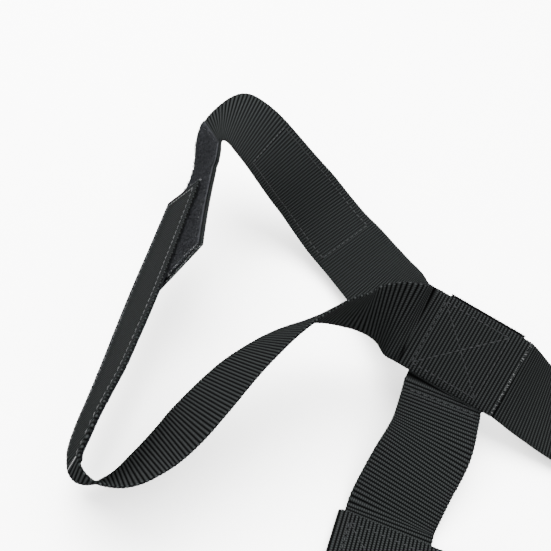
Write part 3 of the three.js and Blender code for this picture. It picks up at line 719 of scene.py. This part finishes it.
# Cut polypropylene yarn: heat has left the ends fluffy, and the pale grey mixed in by noise is painted glints
# of light on the loose fibres
def looseYarn():
    m, shader = newMaterial("cut_polypropylene_yarn", Roughness=0.6, IOR=1.49, Specular_IOR_Level=0.2)
    where = addNode(m, "ShaderNodeTexCoord")
    wisp = addNode(m, "ShaderNodeTexNoise", Vector=where.outputs["Object"], Scale=900.0, Detail=1.0)
    # Painted glints: pale grey mixed in by noise
    tone = addNode(m, "ShaderNodeMix", {"data_type": "RGBA"},
                   i0=wisp.outputs[0], i6=linear("#1a1b1c"), i7=linear("#8c8e8e"))
    link(m, tone.outputs[2], shader.inputs["Base Color"])
    return m


# Moulded acetal: satin black with a fine spark-eroded grain
def mouldedAcetal():
    m, shader = newMaterial("moulded_acetal", Roughness=0.42, IOR=1.48, Specular_IOR_Level=0.12)
    where = addNode(m, "ShaderNodeTexCoord")
    grain = addNode(m, "ShaderNodeTexNoise", Vector=where.outputs["Object"], Scale=2200.0, Detail=3.0)
    wear = addNode(m, "ShaderNodeTexNoise", Vector=where.outputs["Object"], Scale=60.0, Detail=4.0)
    tone = addNode(m, "ShaderNodeMix", {"data_type": "RGBA"},
                   i0=wear.outputs[0], i6=linear("#060606"), i7=linear("#0e0f0f"))
    link(m, tone.outputs[2], shader.inputs["Base Color"])
    bump = addNode(m, "ShaderNodeBump", Strength=0.25, Distance=0.0001, Height=grain.outputs[0])
    link(m, bump.outputs[0], shader.inputs["Normal"])
    rough = addNode(m, "ShaderNodeMapRange", i0=wear.outputs[0], i3=0.36, i4=0.5)
    link(m, rough.outputs[0], shader.inputs["Roughness"])
    return m


# Knitted elastic: fine lengthwise cords, rubbery and matt
def knittedElastic():
    m, shader = newMaterial("knitted_elastic", Roughness=0.8, IOR=1.5, Specular_IOR_Level=0.12,
                            Sheen_Weight=0.02)
    where = addNode(m, "ShaderNodeTexCoord")
    cords = addNode(m, "ShaderNodeTexWave", {"wave_type": "BANDS", "bands_direction": "X"},
                    Vector=where.outputs["Object"], Scale=150.0, Distortion=0.6, Detail=2.0)
    tone = addNode(m, "ShaderNodeMix", {"data_type": "RGBA"},
                   i0=cords.outputs[1], i6=linear("#111212"), i7=linear("#2a2b2b"))
    link(m, tone.outputs[2], shader.inputs["Base Color"])
    bump = addNode(m, "ShaderNodeBump", Strength=0.5, Distance=0.0003, Height=cords.outputs[1])
    link(m, bump.outputs[0], shader.inputs["Normal"])
    return m


looks = {
    "webbing": wovenWebbing(),
    "hook": tapeCloth("nylon_hook_tape", "#08090a", "#1b1c1e", 1400.0),
    "loop": tapeCloth("nylon_loop_tape", "#0a0a0b", "#212224", 900.0),
    "thread": sewingThread(),
    "yarn": looseYarn(),
    "plastic": mouldedAcetal(),
    "elastic": knittedElastic(),
}


def dress(piece, look):
    piece.data.materials.clear()
    piece.data.materials.append(looks[look])


# Which look, record slot, body and CAD pieces each modelled piece has
plan = {
    "underarm_webbing": ("webbing", "webbing", ["underarm_strap"]),
    "hook_end_webbing": ("webbing", "webbing", ["hook_tab"]),
    "hook_tape": ("hook", "hook_tape", ["hook_tape_base"]),
    "hook_end_tape": ("hook", "hook_tape", ["hook_tape_tip"]),
    "loop_tape": ("loop", "loop_tape", ["loop_tape_tail"]),
    "back_loop_tape": ("loop", "loop_tape", ["loop_tape_back"]),
    "down_webbing": ("webbing", "webbing", ["down_strap"]),
    "stitching": ("thread", "webbing", []),
    "hook_end_stitching": ("thread", "webbing", []),
    "loose_yarn": ("yarn", "webbing", []),
    "hook_end_yarn": ("yarn", "webbing", []),
    "loop_pile": ("loop", "loop_tape", []),
}
moving = ("hook_end_webbing", "hook_end_tape", "hook_end_stitching", "hook_end_yarn")
for kind, (look, slotName, nodes) in plan.items():
    left = pieces[kind + "_left"]
    dress(left, look)
    right = mirroredCopy(left, kind + "_right")
    for piece, side, mirror in ((left, "left", 1), (right, "right", -1)):
        if nodes:
            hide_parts(*[f"{node}_{side}" for node in nodes])
        if kind in moving:
            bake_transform(piece)
        else:
            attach(piece, "vest")
# The yoke and the belt: dressed in webbing, their CAD pieces hidden, tied to the vest
for piece, node in ((yoke, "shoulder_yoke_webbing"), (beltPiece, "waist_belt")):
    dress(piece, "webbing")
    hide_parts(node)
    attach(piece, "vest")
for name in ("buckle_socket", "buckle_plug", "buckle_prong_upper", "buckle_prong_lower", "tri_glide_slider"):
    dress(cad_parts[name], "plastic")
dress(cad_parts["belt_keeper"], "elastic")
print("materials on, pieces tied to the frame")

# Floor, soft light and camera
stage = {"floor": "#f7f7f6", "floorSize": 6.0, "skyStrength": 4.8, "keyPower": 130.0, "keySize": 1.4}
bpy.ops.object.select_all(action="DESELECT")
bpy.ops.mesh.primitive_plane_add(size=stage["floorSize"], location=(0, 0, -0.0004))
floor = bpy.context.active_object
floor.name = "studio_floor"
bpy.ops.object.transform_apply(location=True, rotation=True, scale=True)
floorLook, floorShader = newMaterial("matt_white_card", Roughness=0.9)
floorShader.inputs["Base Color"].default_value = linear(stage["floor"])
floor.data.materials.append(floorLook)

world = bpy.data.worlds.new("studio_sky")
bpy.context.scene.world = world
world.use_nodes = True
world.node_tree.nodes["Background"].inputs[0].default_value = (1, 1, 1, 1)
world.node_tree.nodes["Background"].inputs[1].default_value = stage["skyStrength"]


# The matrix that puts a lamp or the camera in its place, from its three directions
def matrixAt(x, y, z, position):
    return Matrix([[x[k], y[k], z[k], position[k]] for k in range(3)] + [[0, 0, 0, 1]])


def softbox(name, position, aim, power, size):
    data = bpy.data.lights.new(name, "AREA")
    data.energy = power
    data.size = size
    lamp = bpy.data.objects.new(name, data)
    bpy.context.scene.collection.objects.link(lamp)
    z = unit(np.array(position) - np.array(aim))
    x = unit(np.cross([0, 1, 0.001], z))
    lamp.matrix_world = matrixAt(x, np.cross(z, x), z, position)
    return lamp


softbox("key_softbox", (-0.9, 0.5, 1.3), (-0.2, 0, 0.03), stage["keyPower"], stage["keySize"])
softbox("top_softbox", (0.2, 0.3, 1.6), (-0.2, 0, 0.03), stage["keyPower"] * 0.6, stage["keySize"])

camera = {"lens": 42.47, "place": (-66.98, -247.24, 306.56), "right": (0.9308, 0.3430, 0.1264),
          "up": (-0.3423, 0.6969, 0.6302)}
cameraData = bpy.data.cameras.new("camera")
cameraData.lens = camera["lens"]
cameraData.sensor_width = 36
cameraData.clip_start = 0.01
eye = bpy.data.objects.new("camera", cameraData)
bpy.context.scene.collection.objects.link(eye)
cameraRight = unit(np.array(camera["right"]))
cameraBack = unit(np.cross(cameraRight, np.array(camera["up"])))
cameraUp = np.cross(cameraBack, cameraRight)
place = (junction + np.array(camera["place"])) / 1000
eye.matrix_world = matrixAt(cameraRight, cameraUp, cameraBack, place)
bpy.context.scene.camera = eye
print("stage, lights and camera set")
